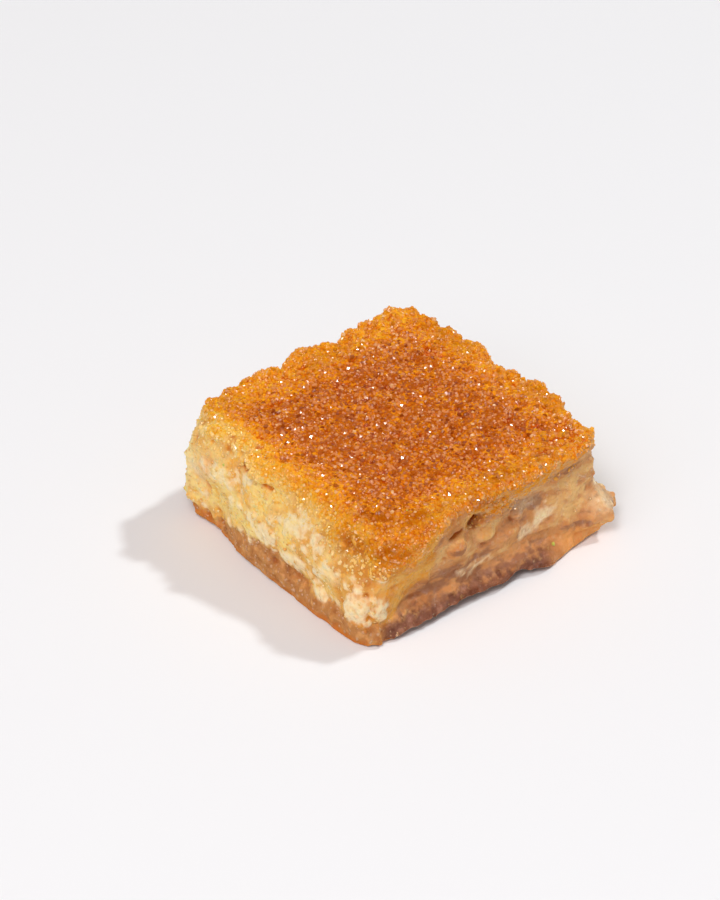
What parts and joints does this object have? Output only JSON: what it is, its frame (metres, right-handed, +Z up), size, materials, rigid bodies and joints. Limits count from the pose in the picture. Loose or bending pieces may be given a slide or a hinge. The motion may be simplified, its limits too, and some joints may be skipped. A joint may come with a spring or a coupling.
{
  "type": "maamoul piece",
  "caption": "Square cut of syrup-soaked semolina cake: browned grainy crust over a thick dough, a cream curd filling and a thin dough base, with rough knife-cut sides.",
  "frame": {"origin": "centre of the piece's bounding box, on the surface it rests on", "axes": "+Z up through the browned crust; -Y out of the bright cut side with the curds; +X out of the other cut side with the pocket"},
  "size_m": [0.0506, 0.0516, 0.0203],
  "materials": {
    "base_dough": "baked semolina dough, damp with syrup, tan with a browned underside",
    "cream_filling": "pale cream curd, moist and slightly translucent",
    "top_dough": "syrup-soaked semolina dough, yellow inside, with a grainy amber-brown crust that sparkles"
  },
  "bodies": {
    "root": {"base_dough": "base_dough", "cream_filling": "cream_filling", "top_dough": "top_dough"}
  },
  "joints": []
}
